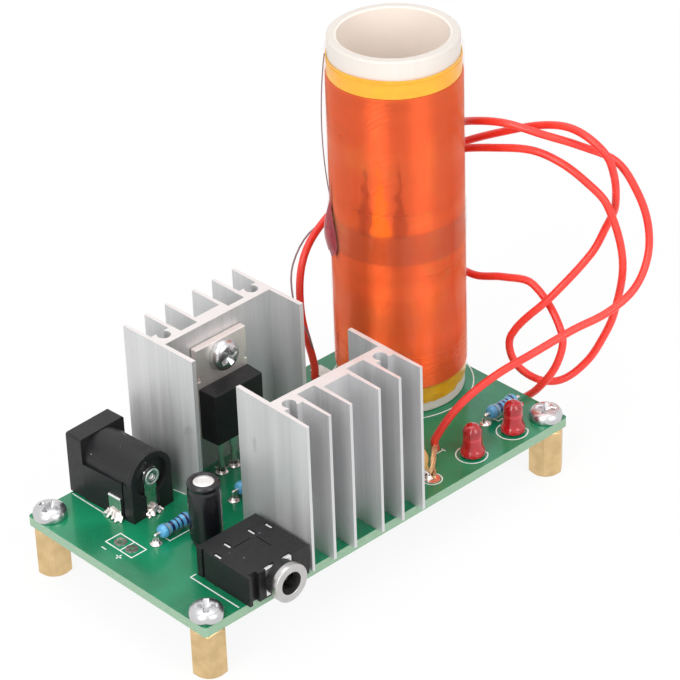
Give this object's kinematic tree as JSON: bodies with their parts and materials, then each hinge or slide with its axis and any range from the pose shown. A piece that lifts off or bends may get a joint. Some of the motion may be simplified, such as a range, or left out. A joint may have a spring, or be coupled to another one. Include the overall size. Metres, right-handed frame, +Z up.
{
  "type": "desktop resonant transformer",
  "caption": "Small circuit board on standoffs with finned transistor heat sinks, a power and an audio socket, and an upright wire-wound coil fed by a looped red wire.",
  "frame": {"origin": "centre of the four standoffs, on the plane that their lower ends stand on", "axes": "+X along the board towards the coil, +Y from the audio socket's edge to the power socket's edge, +Z up along the coil"},
  "size_m": [0.0921, 0.0462, 0.0708],
  "materials": {
    "board_laminate": "glossy green solder mask",
    "standoff_brass": "bright turned brass",
    "plated_steel": "bright nickel plate",
    "sink_aluminium": "raw extruded, fine streaks along the height",
    "pin_steel": "tinned steel",
    "case_plastic": "matt moulded epoxy",
    "tab_metal": "warm grey nickel plate",
    "pad_grey": "grey silicone sheet",
    "jack_plastic": "fine-grained moulding",
    "contact_metal": "nickel plate",
    "spring_bronze": "spring bronze",
    "sleeve_plastic": "glossy shrink sleeve",
    "can_metal": "bright can top",
    "bung_rubber": "matt rubber",
    "disc_ceramic": "dipped tan coating",
    "resistor_blue": "glossy lacquer with dark rings",
    "lamp_red": "tinted clear epoxy",
    "tinned_wire": "tinned wire",
    "tube_plastic": "cream tube, slightly rough",
    "winding_enamel": "enamelled copper wire",
    "clear_film": "clear glossy film",
    "tape_yellow": "yellow polyester tape",
    "wire_red": "satin insulation",
    "bare_copper": "tinned copper core",
    "solder": "rough solder"
  },
  "bodies": {
    "root": {"board": "board_laminate", "standoffs": "standoff_brass", "board_screws": "plated_steel", "heatsink_rear": "sink_aluminium", "heatsink_front": "sink_aluminium", "heatsink_pins": "pin_steel", "transistor_rear_case": "case_plastic", "transistor_rear_tab": "tab_metal", "transistor_rear_leads": "tinned_wire", "transistor_front_case": "case_plastic", "transistor_front_tab": "tab_metal", "transistor_front_leads": "tinned_wire", "transistor_screws": "plated_steel", "insulator_pads": "pad_grey", "power_jack_housing": "jack_plastic", "power_jack_pin": "contact_metal", "power_jack_spring": "spring_bronze", "power_jack_rear_strap": "contact_metal", "power_jack_side_tab": "contact_metal", "audio_jack_housing": "jack_plastic", "audio_jack_ring": "contact_metal", "audio_jack_plate": "contact_metal", "audio_jack_legs": "contact_metal", "capacitor_sleeve": "sleeve_plastic", "capacitor_vent": "can_metal", "capacitor_bung": "bung_rubber", "capacitor_leads": "tinned_wire", "disc_capacitor": "disc_ceramic", "disc_capacitor_leads": "tinned_wire", "resistor_power": "resistor_blue", "resistor_gate": "resistor_blue", "resistor_lamp": "resistor_blue", "resistor_leads": "tinned_wire", "lamp_left": "lamp_red", "lamp_right": "lamp_red", "lamp_leads": "tinned_wire", "coil_tube": "tube_plastic", "winding": "winding_enamel", "film_lower": "clear_film", "film_upper": "clear_film", "tape_lower": "tape_yellow", "tape_upper": "tape_yellow", "primary_wire": "wire_red", "primary_wire_ends": "bare_copper", "secondary_lead": "winding_enamel", "secondary_lead_end": "winding_enamel", "solder_joints": "solder"}
  },
  "joints": []
}
